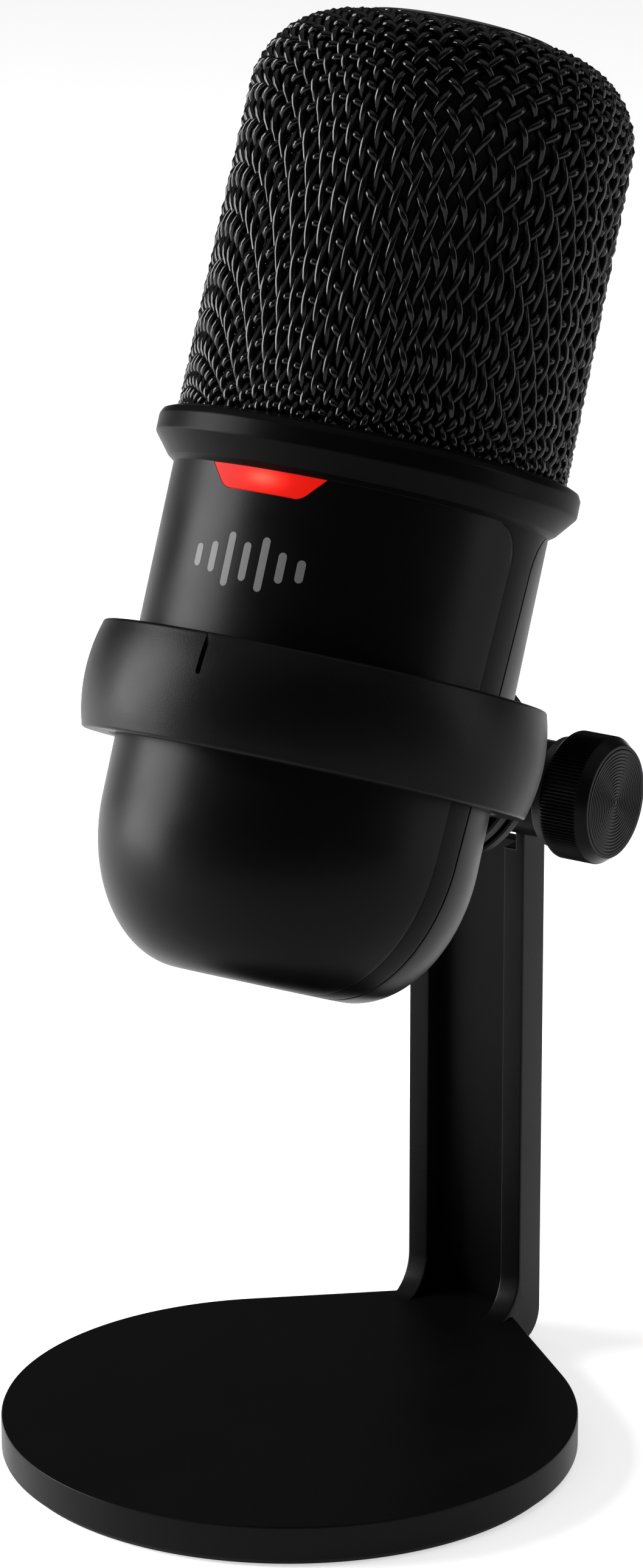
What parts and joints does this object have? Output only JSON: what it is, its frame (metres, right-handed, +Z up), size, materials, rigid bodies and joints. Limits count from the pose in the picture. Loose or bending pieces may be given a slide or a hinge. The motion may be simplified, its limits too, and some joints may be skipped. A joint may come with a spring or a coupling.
{
  "type": "desktop microphone",
  "caption": "Desk microphone with a woven wire grille, held in a ring that swivels and tilts on a flat metal post with a side clamp knob and a round weighted base.",
  "frame": {"origin": "centre of the round base, on the surface it rests on", "axes": "+Z up, front of the microphone towards -Y, clamp knob towards +X"},
  "size_m": [0.0784, 0.1018, 0.1939],
  "materials": {
    "stand_paint": "fine textured satin powder coat",
    "knob_metal": "black anodised, knurled and turned",
    "foot_rubber": "matte",
    "fastener_steel": "zinc plated",
    "shell_plastic": "fine satin",
    "trim_plastic": "satin",
    "grille_wire": "gloss black woven wire",
    "light_lens": "lit diffusing lens",
    "plate_gloss": "polished",
    "board_green": "solder mask",
    "part_black": "moulded",
    "led_white": "clear",
    "port_metal": "stamped",
    "capsule_metal": "gold flashed",
    "foam_black": "open cell foam",
    "soft_rubber": "soft"
  },
  "bodies": {
    "stand": {"base_plate": "stand_paint", "foot_pad": "foot_rubber", "upright_post": "stand_paint", "base_screws": "fastener_steel", "hinge_nut": "fastener_steel", "hinge_cap": "trim_plastic"},
    "clamp": {"clamp_washer": "trim_plastic"},
    "knob": {"knob_grip": "knob_metal", "knob_face": "knob_metal", "clamp_screw": "fastener_steel"},
    "bracket": {"hinge_bracket": "stand_paint", "swivel_washer": "trim_plastic", "swivel_pin": "fastener_steel"},
    "head": {"carrying_ring": "shell_plastic", "ring_liner": "soft_rubber", "chassis_frame": "shell_plastic", "front_shell": "shell_plastic", "rear_shell": "shell_plastic", "bottom_cap": "shell_plastic", "status_light": "light_lens", "light_board": "board_green", "light_leds": "led_white", "main_board": "board_green", "board_screws": "fastener_steel", "board_parts": "part_black", "usb_port": "port_metal", "port_bezel": "trim_plastic", "deck_plate": "trim_plastic", "deck_screws": "fastener_steel", "grille_hem": "grille_wire", "grille": "grille_wire", "foam_liner": "foam_black", "mic_frame": "trim_plastic", "capsule_cup": "soft_rubber", "capsule": "capsule_metal", "capsule_lead": "part_black", "touch_plate": "plate_gloss", "plate_seat": "trim_plastic", "sensor_board": "board_green"}
  },
  "joints": [
    {"name": "tilt", "type": "hinge", "parent": "stand", "child": "bracket", "pos_m": [0, 0.0484, 0.0828], "axis": [1, 0, 0], "range_deg": [-67, 35]},
    {"name": "swivel", "type": "hinge", "parent": "bracket", "child": "head", "pos_m": [0, 0.03902, 0.08707], "axis": [0, 0.9219, -0.3875], "range_deg": [-90, 90]},
    {"name": "clamp_slide", "type": "slide", "parent": "stand", "child": "clamp", "axis": [1, 0, 0], "range_m": [0, 0.0012]},
    {"name": "knob_turn", "type": "hinge", "parent": "clamp", "child": "knob", "pos_m": [0.0148, 0.0484, 0.0828], "axis": [1, 0, 0], "range_deg": [0, 540]}
  ],
  "couplings": [
    {"joint": "clamp_slide", "follows": "knob_turn", "m_per_rad": 0.00012732}
  ]
}
